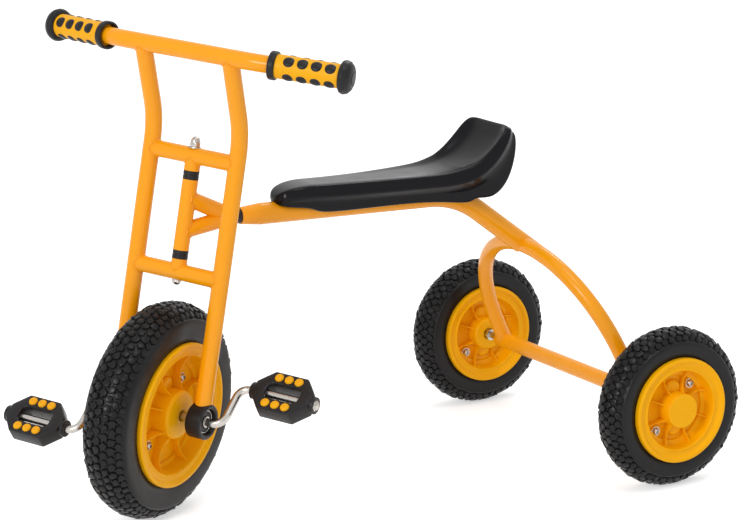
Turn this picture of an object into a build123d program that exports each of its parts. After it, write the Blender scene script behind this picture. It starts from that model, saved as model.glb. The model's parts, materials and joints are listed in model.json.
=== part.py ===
from build123d import *
from math import cos, radians, sin, sqrt, tan
import os

os.makedirs("parts", exist_ok=True)

# Child's tricycle with a tall parallel fork, a single curved main tube and a hoop over the rear axle.
# Axes: X forward, Y to the rider's left, Z up, floor at Z = 0. All lengths are millimetres.
# The fork stands as it was parked, turned to the rider's left.

# Layout
wheelbase = 714.0
rear_track = 533.0
rear_overhang_to_middle = 384.86
rake_angle = 10.28
steer_angle = 31.37
running_gap = 0.3
shaft_clearance = 0.1

# Tyres, section half width and half height
front_tyre_radius = 160.0
front_section = (36.7, 27.3)
rear_tyre_radius = 121.2
rear_section = (29.0, 25.0)
bead_inset = 3.0
bead_depth = 7.0

# Wheel halves
front_lip_radius = 108.0
front_lip_offset = 40.0
front_hub_radius = 36.0
front_hub_drop = 7.0
front_bolt_circle = 58.0
front_rib_turn = -8.0
rear_lip_radius = 80.4
rear_lip_offset = 34.0
rear_hub_radius = 26.0
rear_hub_drop = 0.0
rear_bolt_circle = 45.0
rear_rib_turn = 0.0
lip_ring_width = 19.4
lip_ring_flat = 8.0
lip_edge_width = 4.0
lip_dish = 4.0
web_depth = 13.0
web_thickness = 4.0
web_step_width = 11.0
web_step_height = 5.0
rib_thickness = 3.0
rib_drop = 9.5
boss_radius = 8.5
boss_height = 5.0
barrel_wall = 4.0

# Ribs of one half turn of a wheel, by their angles at the hub, half way out and at the ring
rib_angles = ((21.5, 21.5, 21.5), (61.0, 63.0, 66.0), (124.0, 110.0, 109.0), (147.0, 157.0, 161.0))
bolt_angle = 133.0

# Frame tubes
main_tube_radius = 16.0
main_nose_radius = 12.5
main_nose_length = 32.0
main_nose_drop = 11.9
main_fall = 9.1
main_bend_x = 208.0
main_bend_radius = 150.0
main_end_slope = 37.1
main_past_hoop = 34.0
main_end_lip = 3.0
hoop_radius = 12.0
hoop_half_width = 184.0
hoop_height = 227.0
hoop_lean = 23.3
axle_tube_radius = 12.5
axle_tube_overrun = 14.0
axle_rod_radius = 6.0
axle_rod_socket = 30.0
hub_nut_radius = 10.0
hub_nut_height = 8.0
hub_cap_proud = 3.0
hub_cap_rounding = 1.5

# Steering head, heights along the steering axis above the front axle
lower_cross_height = 204.0
upper_cross_height = 373.0
cross_tube_radius = 12.0
head_tube_radius = 11.5
bush_height = 12.5
bush_groove_depth = 0.8
bush_groove_height = 1.6
lower_stub_length = 26.0
upper_stub_length = 28.0
pivot_radius = 6.0
dome_nut_radius = 8.0
dome_nut_height = 8.0
pivot_head_radius = 7.0
pivot_head_height = 7.0

# Neck
neck_reach = 137.7
neck_tube_radius = 12.0
neck_half_spread = 23.5
collar_radius = 11.0
collar_length = 12.0

# Fork and handlebar
leg_radius = 12.5
leg_half_spacing = 72.7
leg_bend_height = 415.0
leg_bend_radius = 122.0
bar_forward = 58.0
bar_height = 524.0
bar_bend_y = 108.0
bar_bend_radius = 90.0
bar_sweep = 13.2
bar_half_length = 240.0
grip_start = 138.0
grip_sleeve_radius = 17.0
flange_radius = 20.5
flange_thickness = 6.0
cap_radius = 24.0
cap_thickness = 14.0
dot_radius = 7.8
dot_height = 1.4
dot_taper = 25.0
dot_pitch = 20.0
dot_columns = 4
dot_rows = 5

# Cranked front axle and pedals
housing_radius = 26.0
housing_width = 26.0
housing_recess_radius = 19.0
housing_recess_depth = 5.0
bearing_radius = 13.0
bearing_thickness = 3.0
crank_rod_radius = 6.0
crank_arm_y = 108.0
crank_length = 66.0
crank_angle = 126.5
crank_bend_radius = 18.0
pedal_inner_y = 133.0
pedal_length = 94.5
pedal_flat_length = 54.0
pedal_width = 67.0
pedal_end_width = 22.0
pedal_thickness = 25.0
pedal_edge = 2.5
pedal_collar_radius = 12.5
pedal_collar_length = 5.0
pedal_collar_bore = 10.0
pedal_tilt = 135.0
pedal_window_length = 54.0
pedal_window_width = 26.0
stud_radius = 6.5
stud_dome = 3.0
stud_pitch = 16.3
stud_row_half_spacing = 23.0
crank_nut_radius = 8.5
crank_nut_height = 6.0
crank_rod_proud = 1.0

# Seat, placed from the bend of the main tube; its nose stops short of the tube's front end
seat_nose_gap = 55.3
seat_dish = 1.0
seat_tail_dish = 8.0
seat_edge_radius = 5.0

# Rings of the straight front: share of the reach to the nose, crown and keel heights above the bend,
# half widths at the top edge, ledge and skirt, and the ledge's drop below the crown
seat_front_rings = (
    (1.000, 35.6, 25.6, 8.0, 8.5, 7.5, 4.0),
    (0.981, 41.0, 20.4, 19.0, 19.5, 17.0, 9.2),
    (0.940, 44.3, 17.5, 28.0, 28.5, 24.5, 13.0),
    (0.860, 45.8, 15.2, 32.9, 34.4, 28.6, 15.4),
    (0.795, 45.9, 7.2, 34.2, 37.8, 29.5, 16.5),
    (0.613, 44.6, 5.6, 37.0, 41.5, 32.0, 16.5),
    (0.422, 44.1, 6.6, 42.5, 47.5, 36.0, 16.5),
    (0.243, 45.1, 6.1, 51.0, 55.5, 42.0, 17.0),
)

# Rings of the upswept tail: crown and keel, each forward of the bend and above it, then as above
seat_tail_rings = (
    (38.0, 47.6, 32.0, 1.1, 56.5, 60.5, 48.0, 18.0),
    (10.0, 55.1, -3.0, -1.4, 59.5, 63.0, 51.0, 19.5),
    (-13.0, 67.1, -33.0, 0.1, 61.2, 64.5, 53.0, 21.0),
    (-32.0, 82.4, -54.0, 17.0, 62.0, 64.5, 53.5, 19.5),
    (-49.0, 99.4, -70.0, 50.6, 60.8, 63.0, 53.3, 14.5),
    (-60.0, 106.6, -72.5, 88.6, 51.0, 53.5, 47.5, 7.0),
)

# Directions of the steering axis and of the turned fork
rake = radians(rake_angle)
steer = radians(steer_angle)
steering_axis = (-sin(rake), 0, cos(rake))
fork_forward = (cos(steer) * cos(rake), sin(steer), cos(steer) * sin(rake))
camber_sine = sin(steer) * sin(rake)
camber_cosine = sqrt(1 - camber_sine**2)

# Wheel centres, each wheel touching the floor
rear_x = -rear_overhang_to_middle
rear_axle_z = rear_tyre_radius
front_x = rear_x + wheelbase
front_tread_centre = front_tyre_radius - front_section[1]
front_axle_z = front_tread_centre * camber_cosine + sqrt(
    (front_section[1] * camber_cosine) ** 2 + (front_section[0] * camber_sine) ** 2
)

fork_plane = Plane(
    origin=(front_x, 0, front_axle_z), x_dir=fork_forward, z_dir=steering_axis
)


def in_fork(plane):
    """A plane given in the fork's own axes, placed in the model."""
    return Plane(fork_plane.location * plane.location)


def along_y(origin):
    """A plane at a point of the model that faces along the rider's left."""
    return Plane(origin=origin, x_dir=(1, 0, 0), z_dir=(0, 1, 0))


def steering_point(height):
    """A point on the steering axis, at a height along it above the front axle."""
    return Vector(front_x, 0, front_axle_z) + Vector(steering_axis) * height


front_wheel_plane = in_fork(Plane(origin=(0, 0, 0), x_dir=(1, 0, 0), z_dir=(0, 1, 0)))
sides = (("left", 1), ("right", -1))
lower_bush_height = lower_cross_height + lower_stub_length
upper_bush_height = upper_cross_height - upper_stub_length
head_middle = (lower_bush_height + upper_bush_height) / 2

# Rear hoop, a semicircle on two straight legs, leaning forward
hoop_direction = (sin(radians(hoop_lean)), 0, cos(radians(hoop_lean)))
hoop_plane = Plane(
    origin=(rear_x, 0, rear_axle_z), x_dir=(0, 1, 0), z_dir=Vector(0, 1, 0).cross(Vector(hoop_direction))
)
hoop_straight = hoop_height - hoop_half_width

with BuildPart() as rear_axle_tube:
    with BuildSketch(along_y((rear_x, -hoop_half_width - axle_tube_overrun, rear_axle_z))):
        Circle(axle_tube_radius)
    extrude(amount=2 * (hoop_half_width + axle_tube_overrun))
    for side, sign in sides:
        with BuildSketch(along_y((rear_x, sign * (hoop_half_width + axle_tube_overrun), rear_axle_z))):
            Circle(axle_rod_radius)
        extrude(amount=-sign * axle_rod_socket, mode=Mode.SUBTRACT)
rear_axle_tube.part.label = "rear_axle_tube"
export_step(rear_axle_tube.part, "parts/rear_axle_tube.step")

with BuildPart() as rear_hoop:
    with BuildLine(hoop_plane) as hoop_route:
        hoop_left = Line((hoop_half_width, 0), (hoop_half_width, hoop_straight))
        hoop_arc = ThreePointArc(
            (hoop_half_width, hoop_straight), (0, hoop_height), (-hoop_half_width, hoop_straight)
        )
        hoop_right = Line((-hoop_half_width, hoop_straight), (-hoop_half_width, 0))
    with BuildSketch(Plane(origin=hoop_left @ 0, z_dir=hoop_left % 0)):
        Circle(hoop_radius)
    sweep(path=hoop_route.wires()[0])
    with BuildSketch(along_y((rear_x, -hoop_half_width - axle_tube_overrun, rear_axle_z))):
        Circle(axle_tube_radius)
    extrude(amount=2 * (hoop_half_width + axle_tube_overrun), mode=Mode.SUBTRACT)
rear_hoop.part.label = "rear_hoop"
export_step(rear_hoop.part, "parts/rear_hoop.step")

# Main tube, nearly level under the seat, then bent down onto the hoop
hoop_crown = Vector(rear_x, 0, rear_axle_z) + Vector(hoop_direction) * hoop_height
end_direction = Vector(-cos(radians(main_end_slope)), 0, -sin(radians(main_end_slope)))
main_start = Vector(front_x - neck_reach, 0, steering_point(head_middle).Z - main_nose_drop)
bend_point = Vector(rear_x + main_bend_x, 0, main_start.Z - main_fall)
past_hoop = (hoop_crown - bend_point).dot(end_direction) + main_past_hoop
main_end = bend_point + end_direction * past_hoop
front_direction = (main_start - bend_point).normalized()
nose_back = main_start - front_direction * main_nose_length

with BuildPart() as main_tube:
    with BuildLine() as main_route:
        FilletPolyline(nose_back, bend_point, main_end, radius=main_bend_radius)
    main_path = main_route.wires()[0]
    with BuildSketch(Plane(origin=nose_back, z_dir=-front_direction)):
        Circle(main_tube_radius)
    sweep(path=main_path)
    with BuildSketch(Plane(origin=nose_back, z_dir=front_direction)):
        Circle(main_tube_radius)
    with BuildSketch(Plane(origin=main_start, z_dir=front_direction)):
        Circle(main_nose_radius)
    loft()
    with BuildSketch(Plane(origin=hoop_crown, x_dir=end_direction, z_dir=(0, 1, 0))):
        with BuildLine():
            Polyline(
                (0, 0),
                (main_past_hoop, main_tube_radius - main_end_lip),
                (2 * main_past_hoop, main_tube_radius - main_end_lip),
                (2 * main_past_hoop, -2 * main_tube_radius),
                (0, -2 * main_tube_radius),
                close=True,
            )
        make_face()
    extrude(amount=main_tube_radius, both=True, mode=Mode.SUBTRACT)
    add(rear_hoop.part, mode=Mode.SUBTRACT)
main_tube.part.label = "main_tube"
export_step(main_tube.part, "parts/main_tube.step")

# Steering head: bored head tube between two plain bushes
def ring_on_steering_axis(radius, bore, low, high):
    """Add a ring round the steering axis between two heights above the front axle."""
    with BuildSketch(fork_plane.offset(low)) as ring:
        Circle(radius)
        Circle(bore, mode=Mode.SUBTRACT)
    extrude(ring.sketch, amount=high - low)


head_low = lower_bush_height + bush_height / 2
head_high = upper_bush_height - bush_height / 2
pivot_bore = pivot_radius + shaft_clearance

with BuildPart() as head_tube:
    ring_on_steering_axis(head_tube_radius, pivot_bore, head_low, head_high)
head_tube.part.label = "head_tube"
export_step(head_tube.part, "parts/head_tube.step")

for name, height in (("lower", lower_bush_height), ("upper", upper_bush_height)):
    with BuildPart() as bush:
        bush_low = height - bush_height / 2
        ring_on_steering_axis(head_tube_radius, pivot_bore, bush_low, bush_low + bush_height)
        with BuildSketch(fork_plane.offset(height - bush_groove_height / 2)):
            Circle(head_tube_radius)
            Circle(head_tube_radius - bush_groove_depth, mode=Mode.SUBTRACT)
        extrude(amount=bush_groove_height, mode=Mode.SUBTRACT)
    bush.part.label = f"{name}_bush"
    export_step(bush.part, f"parts/{name}_bush.step")

# Neck: two tubes that run together into the collar at the main tube's front end
collar_front = main_start + front_direction * collar_length

neck_tubes = {}
for name, height in (("upper", head_middle + neck_half_spread), ("lower", head_middle - neck_half_spread)):
    reach = steering_point(height) - collar_front
    with BuildPart() as neck_tube:
        with BuildSketch(Plane(origin=collar_front, z_dir=reach)):
            Circle(neck_tube_radius)
        extrude(amount=reach.length)
        with BuildSketch(Plane(origin=collar_front, z_dir=-front_direction)):
            Circle(2 * neck_tube_radius)
        extrude(amount=2 * neck_tube_radius, mode=Mode.SUBTRACT)
        with BuildSketch(fork_plane.offset(lower_cross_height)):
            Circle(head_tube_radius)
        extrude(amount=upper_cross_height - lower_cross_height, mode=Mode.SUBTRACT)
        for upper in neck_tubes.values():
            add(upper, mode=Mode.SUBTRACT)
    neck_tube.part.label = f"neck_{name}_tube"
    export_step(neck_tube.part, f"parts/neck_{name}_tube.step")
    neck_tubes[name] = neck_tube.part

with BuildPart() as neck_collar:
    with BuildSketch(Plane(origin=main_start, z_dir=front_direction)):
        Circle(collar_radius)
    extrude(amount=collar_length)
neck_collar.part.label = "neck_collar"
export_step(neck_collar.part, "parts/neck_collar.step")

# Fork legs, straight and parallel to the steering axis, leaning forward at the top
bar_end_x = bar_forward - (bar_half_length - bar_bend_y) * tan(radians(bar_sweep))

with BuildPart() as handlebar:
    with BuildLine(in_fork(Plane(origin=(0, 0, bar_height)))) as bar_route:
        FilletPolyline(
            (bar_end_x, -bar_half_length),
            (bar_forward, -bar_bend_y),
            (bar_forward, bar_bend_y),
            (bar_end_x, bar_half_length),
            radius=bar_bend_radius,
        )
    bar_path = bar_route.wires()[0]
    with BuildSketch(Plane(origin=bar_path @ 0, z_dir=bar_path % 0)):
        Circle(leg_radius)
    sweep(path=bar_path)
handlebar.part.label = "handlebar"
export_step(handlebar.part, "parts/handlebar.step")

housing_low_y = leg_half_spacing - housing_width / 2
for side, sign in sides:
    with BuildPart() as housing:
        with BuildSketch(front_wheel_plane.offset(sign * housing_low_y)):
            Circle(housing_radius)
            Circle(crank_rod_radius + shaft_clearance, mode=Mode.SUBTRACT)
        extrude(amount=sign * housing_width)
        with BuildSketch(front_wheel_plane.offset(sign * (housing_low_y + housing_width))):
            Circle(housing_recess_radius)
        extrude(amount=-sign * housing_recess_depth, mode=Mode.SUBTRACT)
    housing.part.label = f"axle_housing_{side}"
    export_step(housing.part, f"parts/axle_housing_{side}.step")
    with BuildPart() as bearing:
        recess_floor = housing_low_y + housing_width - housing_recess_depth
        with BuildSketch(front_wheel_plane.offset(sign * recess_floor)):
            Circle(bearing_radius)
            Circle(crank_rod_radius + shaft_clearance, mode=Mode.SUBTRACT)
        extrude(amount=sign * bearing_thickness)
    bearing.part.label = f"axle_bearing_{side}"
    export_step(bearing.part, f"parts/axle_bearing_{side}.step")

legs = {}
for side, sign in sides:
    leg_plane = in_fork(Plane(origin=(0, sign * leg_half_spacing, 0), x_dir=(1, 0, 0), z_dir=(0, -1, 0)))
    with BuildPart() as leg:
        with BuildLine(leg_plane) as leg_route:
            FilletPolyline((0, 0), (0, leg_bend_height), (bar_forward, bar_height), radius=leg_bend_radius)
        leg_path = leg_route.wires()[0]
        with BuildSketch(Plane(origin=leg_path @ 0, z_dir=leg_path % 0)):
            Circle(leg_radius)
        sweep(path=leg_path)
        with BuildSketch(front_wheel_plane.offset(sign * housing_low_y)):
            Circle(housing_radius)
        extrude(amount=sign * housing_width, mode=Mode.SUBTRACT)
        add(handlebar.part, mode=Mode.SUBTRACT)
    leg.part.label = f"fork_leg_{side}"
    export_step(leg.part, f"parts/fork_leg_{side}.step")
    legs[side] = leg.part

# Cross tubes between the legs, and short stubs that clamp the bushes
crosses = {}
for name, height in (("lower", lower_cross_height), ("upper", upper_cross_height)):
    with BuildPart() as cross_tube:
        with BuildSketch(
            in_fork(Plane(origin=(0, -leg_half_spacing, height), x_dir=(1, 0, 0), z_dir=(0, 1, 0)))
        ):
            Circle(cross_tube_radius)
        extrude(amount=2 * leg_half_spacing)
        add(legs["left"], mode=Mode.SUBTRACT)
        add(legs["right"], mode=Mode.SUBTRACT)
        with BuildSketch(fork_plane.offset(height - 2 * cross_tube_radius)):
            Circle(pivot_radius)
        extrude(amount=4 * cross_tube_radius, mode=Mode.SUBTRACT)
    cross_tube.part.label = f"{name}_cross_tube"
    export_step(cross_tube.part, f"parts/{name}_cross_tube.step")
    crosses[name] = cross_tube.part

lower_stub_high = lower_bush_height - bush_height / 2 - running_gap
upper_stub_low = upper_bush_height + bush_height / 2 + running_gap
for name, low, high in (
    ("lower", lower_cross_height, lower_stub_high),
    ("upper", upper_stub_low, upper_cross_height),
):
    with BuildPart() as stub:
        ring_on_steering_axis(head_tube_radius, pivot_radius, low, high)
        add(crosses[name], mode=Mode.SUBTRACT)
    stub.part.label = f"{name}_stub"
    export_step(stub.part, f"parts/{name}_stub.step")

with BuildPart() as pivot_bolt:
    pivot_low = lower_cross_height - cross_tube_radius
    pivot_high = upper_cross_height + cross_tube_radius
    with BuildSketch(fork_plane.offset(pivot_low)):
        Circle(pivot_radius)
    extrude(amount=pivot_high - pivot_low)
    with BuildSketch(fork_plane.offset(pivot_low)):
        Circle(pivot_head_radius)
    extrude(amount=-pivot_head_height)
    with BuildSketch(fork_plane.offset(pivot_high)):
        Circle(dome_nut_radius)
    extrude(amount=dome_nut_height)
    with Locations(fork_plane.offset(pivot_high + dome_nut_height).location):
        Sphere(dome_nut_radius, arc_size1=0)
pivot_bolt.part.label = "pivot_bolt"
export_step(pivot_bolt.part, "parts/pivot_bolt.step")

# Grips: sleeve, inner flange and mushroom cap on each end of the handlebar
bar_end_length = (bar_half_length - bar_bend_y) / cos(radians(bar_sweep))
grip_origin_length = (grip_start - bar_bend_y) / cos(radians(bar_sweep))
grip_length = bar_end_length - grip_origin_length
for side, sign in sides:
    direction = Vector(-sin(radians(bar_sweep)), sign * cos(radians(bar_sweep)), 0)
    start = Vector(bar_forward, sign * bar_bend_y, bar_height) + direction * grip_origin_length
    grip_plane = in_fork(Plane(origin=start, x_dir=(0, 0, 1), z_dir=direction))
    with BuildPart() as sleeve:
        with BuildSketch(grip_plane.offset(flange_thickness)):
            Circle(grip_sleeve_radius)
            Circle(leg_radius, mode=Mode.SUBTRACT)
        extrude(amount=grip_length - flange_thickness)
    sleeve.part.label = f"grip_sleeve_{side}"
    export_step(sleeve.part, f"parts/grip_sleeve_{side}.step")
    with BuildPart() as flange:
        with BuildSketch(grip_plane):
            Circle(flange_radius)
            Circle(leg_radius, mode=Mode.SUBTRACT)
        extrude(amount=flange_thickness)
    flange.part.label = f"grip_flange_{side}"
    export_step(flange.part, f"parts/grip_flange_{side}.step")
    with BuildPart() as cap:
        with BuildSketch(grip_plane.offset(grip_length)):
            Circle(cap_radius)
        extrude(amount=cap_thickness)
        fillet(cap.edges().filter_by(GeomType.CIRCLE), cap_thickness * 0.42)
    cap.part.label = f"grip_cap_{side}"
    export_step(cap.part, f"parts/grip_cap_{side}.step")
    first_dot = (grip_length + flange_thickness - (dot_columns - 1) * dot_pitch) / 2
    with BuildPart() as dots:
        for row in range(dot_rows):
            turn = radians(360 / dot_rows * row)
            for column in range(dot_columns):
                seat_point = Vector(
                    (grip_sleeve_radius - dot_height) * cos(turn),
                    (grip_sleeve_radius - dot_height) * sin(turn),
                    first_dot + column * dot_pitch,
                )
                dot_seat = Plane(origin=seat_point, z_dir=(cos(turn), sin(turn), 0))
                with BuildSketch(Plane(grip_plane.location * dot_seat.location)):
                    Circle(dot_radius)
                extrude(amount=2 * dot_height, taper=dot_taper)
        with BuildSketch(grip_plane):
            Circle(grip_sleeve_radius)
        extrude(amount=grip_length, mode=Mode.SUBTRACT)
    dots.part.label = f"grip_dots_{side}"
    export_step(dots.part, f"parts/grip_dots_{side}.step")


def section_plane(wheel, sign=1):
    """The half plane through a wheel's axis: local X runs outward from the hub, local Y along the axis."""
    return Plane(origin=wheel.origin, x_dir=wheel.x_dir, z_dir=wheel.x_dir.cross(wheel.z_dir * sign))


def tyre(wheel, radius, section, lip_radius):
    """Half ellipse for the tread, closing to the bead at the wheel's lip."""
    half_width, half_height = section
    middle = radius - half_height
    bead = lip_radius - bead_depth
    seat = half_width - bead_inset
    with BuildSketch(section_plane(wheel)) as profile:
        with BuildLine():
            EllipticalCenterArc((middle, 0), half_height, half_width, start_angle=-90, arc_size=180)
            Polyline(
                (middle, half_width),
                (lip_radius, seat),
                (bead, seat),
                (bead, -seat),
                (lip_radius, -seat),
                (middle, -half_width),
            )
        make_face()
    revolve(profile.sketch, axis=Axis(wheel.origin, wheel.z_dir))


def on_wheel(radius, angle):
    """A point of a wheel plane, at an angle measured from ahead and upwards."""
    return (radius * cos(radians(angle)), -radius * sin(radians(angle)))


def wheel_half(plane, sign, lip_radius, lip_offset, bore, hub, bolt_circle, rib_turn, tyre_half_width):
    """One moulded half of a wheel: barrel, lip ring, sunk web with ribs and bosses, and hub."""
    hub_radius, hub_drop = hub
    ring = lip_radius - lip_ring_width
    bead = lip_radius - bead_depth
    wall = lip_offset - lip_dish
    seat = tyre_half_width - bead_inset
    with BuildSketch(section_plane(plane, sign)) as profile:
        with BuildLine():
            Polyline(
                (bore, 0),
                (bore, lip_offset - hub_drop),
                (hub_radius, lip_offset - hub_drop),
                (hub_radius, web_depth),
                (ring - web_step_width, web_depth),
                (ring - web_step_width, web_depth + web_step_height),
                (ring - lip_dish, web_depth + web_step_height),
                (ring, wall),
                (ring + lip_ring_flat, wall),
                (lip_radius - lip_edge_width, lip_offset),
                (lip_radius, lip_offset),
                (lip_radius, seat),
                (bead, seat),
                (bead, 0),
                (bead - barrel_wall, 0),
                (bead - barrel_wall, web_depth - web_thickness),
                (hub_radius - barrel_wall, web_depth - web_thickness),
                (hub_radius - barrel_wall, 0),
                close=True,
            )
        make_face()
    revolve(profile.sketch, axis=Axis(plane.origin, plane.z_dir))
    web_plane = plane.offset(sign * web_depth)
    rib_foot = hub_radius - rib_thickness
    rib_end = ring - lip_dish / 2
    with BuildSketch(web_plane) as ribs:
        with BuildLine() as rib_lines:
            for at_hub, half_way, at_ring in rib_angles:
                for turn in (rib_turn, rib_turn + 180):
                    foot = on_wheel(rib_foot, at_hub + turn)
                    middle = on_wheel((rib_foot + rib_end) / 2, half_way + turn)
                    tip = on_wheel(rib_end, at_ring + turn)
                    if at_hub == at_ring:
                        Line(foot, tip)
                    else:
                        ThreePointArc(foot, middle, tip)
        trace(rib_lines.edges(), line_width=rib_thickness)
    extrude(ribs.sketch, amount=sign * (lip_offset - rib_drop - web_depth))
    with BuildSketch(web_plane) as bosses:
        for turn in (rib_turn, rib_turn + 180):
            with Locations(on_wheel(bolt_circle, bolt_angle + turn)):
                Circle(boss_radius)
    extrude(bosses.sketch, amount=sign * boss_height)


# Front wheel
with BuildPart() as front_tyre:
    tyre(front_wheel_plane, front_tyre_radius, front_section, front_lip_radius)
front_tyre.part.label = "front_tyre"
export_step(front_tyre.part, "parts/front_tyre.step")

for side, sign in sides:
    with BuildPart() as front_rim:
        wheel_half(
            front_wheel_plane, sign, front_lip_radius, front_lip_offset, crank_rod_radius,
            (front_hub_radius, front_hub_drop), front_bolt_circle, front_rib_turn, front_section[0],
        )
    front_rim.part.label = f"front_rim_{side}"
    export_step(front_rim.part, f"parts/front_rim_{side}.step")

# Bent axle that is both cranks: one rod, with the pedals opposite each other
crank_x = crank_length * cos(radians(crank_angle))
crank_z = crank_length * sin(radians(crank_angle))
pedal_outer_y = pedal_inner_y + pedal_length
crank_end_y = pedal_outer_y + running_gap + crank_nut_height + crank_rod_proud
with BuildPart() as crankshaft:
    with BuildLine(fork_plane) as crank_route:
        FilletPolyline(
            (crank_x, crank_end_y, crank_z),
            (crank_x, crank_arm_y, crank_z),
            (0, crank_arm_y, 0),
            (0, -crank_arm_y, 0),
            (-crank_x, -crank_arm_y, -crank_z),
            (-crank_x, -crank_end_y, -crank_z),
            radius=crank_bend_radius,
        )
    crank_path = crank_route.wires()[0]
    with BuildSketch(Plane(origin=crank_path @ 0, z_dir=crank_path % 0)):
        Circle(crank_rod_radius)
    sweep(path=crank_path)
crankshaft.part.label = "crankshaft"
export_step(crankshaft.part, "parts/crankshaft.step")

# Pedals: an open elongated hexagon with domed studs on both treads
for side, sign in sides:
    centre_y = sign * (pedal_inner_y + pedal_length / 2)
    tilt = radians(pedal_tilt)
    pedal_plane = in_fork(
        Plane(
            origin=(sign * crank_x, centre_y, sign * crank_z),
            x_dir=(0, 1, 0),
            z_dir=(sin(tilt), 0, -cos(tilt)),
        )
    )
    with BuildPart() as pedal:
        with BuildSketch(pedal_plane.offset(-pedal_thickness / 2)):
            with BuildLine():
                Polyline(
                    (pedal_length / 2, -pedal_end_width / 2),
                    (pedal_length / 2, pedal_end_width / 2),
                    (pedal_flat_length / 2, pedal_width / 2),
                    (-pedal_flat_length / 2, pedal_width / 2),
                    (-pedal_length / 2, pedal_end_width / 2),
                    (-pedal_length / 2, -pedal_end_width / 2),
                    (-pedal_flat_length / 2, -pedal_width / 2),
                    (pedal_flat_length / 2, -pedal_width / 2),
                    close=True,
                )
            make_face()
        extrude(amount=pedal_thickness)
        chamfer(pedal.edges(), pedal_edge)
        rod_plane = Plane(origin=pedal_plane.origin, x_dir=pedal_plane.y_dir, z_dir=pedal_plane.x_dir)
        with BuildSketch(rod_plane):
            Circle(pedal_collar_radius)
        extrude(amount=pedal_length / 2 + pedal_collar_length, both=True)
        with BuildSketch(pedal_plane.offset(-pedal_thickness / 2)):
            Rectangle(pedal_window_length, pedal_window_width)
        extrude(amount=pedal_thickness, mode=Mode.SUBTRACT)
        with BuildSketch(rod_plane):
            Circle(crank_rod_radius + shaft_clearance)
        extrude(amount=pedal_length, both=True, mode=Mode.SUBTRACT)
        with BuildSketch(rod_plane.offset(sign * pedal_length / 2)):
            Circle(pedal_collar_bore)
        extrude(amount=sign * pedal_collar_length, mode=Mode.SUBTRACT)
    pedal.part.label = f"pedal_{side}"
    export_step(pedal.part, f"parts/pedal_{side}.step")
    with BuildPart() as studs:
        for face in (1, -1):
            with BuildSketch(pedal_plane.offset(face * pedal_thickness / 2)):
                with GridLocations(stud_pitch, 2 * stud_row_half_spacing, 3, 2):
                    Circle(stud_radius)
            extrude(amount=face * stud_dome, taper=30)
    studs.part.label = f"pedal_studs_{side}"
    export_step(studs.part, f"parts/pedal_studs_{side}.step")
    with BuildPart() as crank_nut:
        nut_face = (sign * crank_x, sign * (pedal_outer_y + running_gap), sign * crank_z)
        with BuildSketch(in_fork(Plane(origin=nut_face, x_dir=(1, 0, 0), z_dir=(0, sign, 0)))):
            RegularPolygon(crank_nut_radius, 6)
            Circle(crank_rod_radius, mode=Mode.SUBTRACT)
        extrude(amount=crank_nut_height)
    crank_nut.part.label = f"crank_nut_{side}"
    export_step(crank_nut.part, f"parts/crank_nut_{side}.step")

# Rear wheels on their stub axles
for side, sign in sides:
    wheel_y = sign * rear_track / 2
    wheel_plane = along_y((rear_x, wheel_y, rear_axle_z))
    with BuildPart() as rear_tyre:
        tyre(wheel_plane, rear_tyre_radius, rear_section, rear_lip_radius)
    rear_tyre.part.label = f"rear_tyre_{side}"
    export_step(rear_tyre.part, f"parts/rear_tyre_{side}.step")
    for name, half in (("outer", sign), ("inner", -sign)):
        with BuildPart() as rear_rim:
            wheel_half(
                wheel_plane, half, rear_lip_radius, rear_lip_offset, axle_rod_radius + shaft_clearance,
                (rear_hub_radius, rear_hub_drop), rear_bolt_circle, rear_rib_turn, rear_section[0],
            )
        rear_rim.part.label = f"rear_rim_{name}_{side}"
        export_step(rear_rim.part, f"parts/rear_rim_{name}_{side}.step")
    rod_start = hoop_half_width + axle_tube_overrun - axle_rod_socket
    rod_end = rear_track / 2 + rear_lip_offset - running_gap
    with BuildPart() as axle_rod:
        with BuildSketch(along_y((rear_x, sign * rod_start, rear_axle_z))):
            Circle(axle_rod_radius)
        extrude(amount=sign * (rod_end - rod_start))
        nut_face = rear_track / 2 - rear_lip_offset - running_gap
        with BuildSketch(along_y((rear_x, sign * nut_face, rear_axle_z))):
            RegularPolygon(hub_nut_radius, 6)
        extrude(amount=-sign * hub_nut_height)
    axle_rod.part.label = f"rear_axle_rod_{side}"
    export_step(axle_rod.part, f"parts/rear_axle_rod_{side}.step")
    with BuildPart() as hub_cap:
        with BuildSketch(along_y((rear_x, wheel_y + sign * rear_lip_offset, rear_axle_z))):
            Circle(rear_hub_radius)
        extrude(amount=sign * hub_cap_proud)
        fillet(hub_cap.edges().sort_by(Axis.Y)[-1 if sign > 0 else 0], hub_cap_rounding)
    hub_cap.part.label = f"rear_hub_cap_{side}"
    export_step(hub_cap.part, f"parts/rear_hub_cap_{side}.step")

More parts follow.
